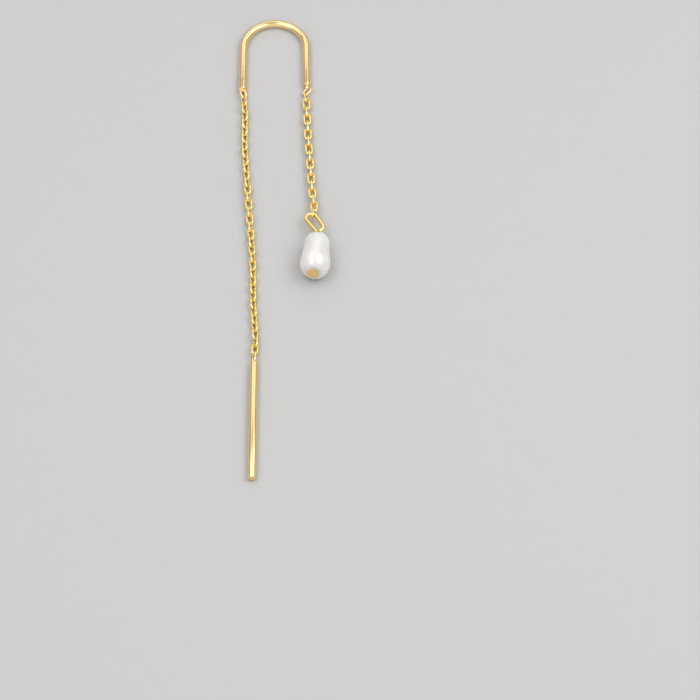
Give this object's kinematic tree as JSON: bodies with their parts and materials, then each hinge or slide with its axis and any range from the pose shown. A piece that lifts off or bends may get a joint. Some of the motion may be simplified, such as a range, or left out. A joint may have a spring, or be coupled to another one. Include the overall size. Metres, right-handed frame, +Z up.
{
  "type": "threader earring",
  "caption": "Threader earring lying flat: wire ear arch, fine chain to a straight threader bar, and a shorter chain with a drop-shaped pearl on a head pin.",
  "frame": {"origin": "middle of the bounding box in x and y, on the surface that the earring lies on", "axes": "+Z up from the surface, +Y along the earring towards the top of the ear arch, -Y towards the free end of the threader bar, +X towards the pearl drop"},
  "size_m": [0.0115, 0.07, 0.0038],
  "materials": {
    "gold_plated_brass": "polished pale yellow gold plate",
    "pearl_nacre": "satin pearl lustre, white with a warm rim"
  },
  "bodies": {
    "root": {"ear_arch": "gold_plated_brass", "long_chain": "gold_plated_brass", "threader_bar": "gold_plated_brass", "drop_chain": "gold_plated_brass", "head_pin": "gold_plated_brass", "pearl": "pearl_nacre"}
  },
  "joints": []
}
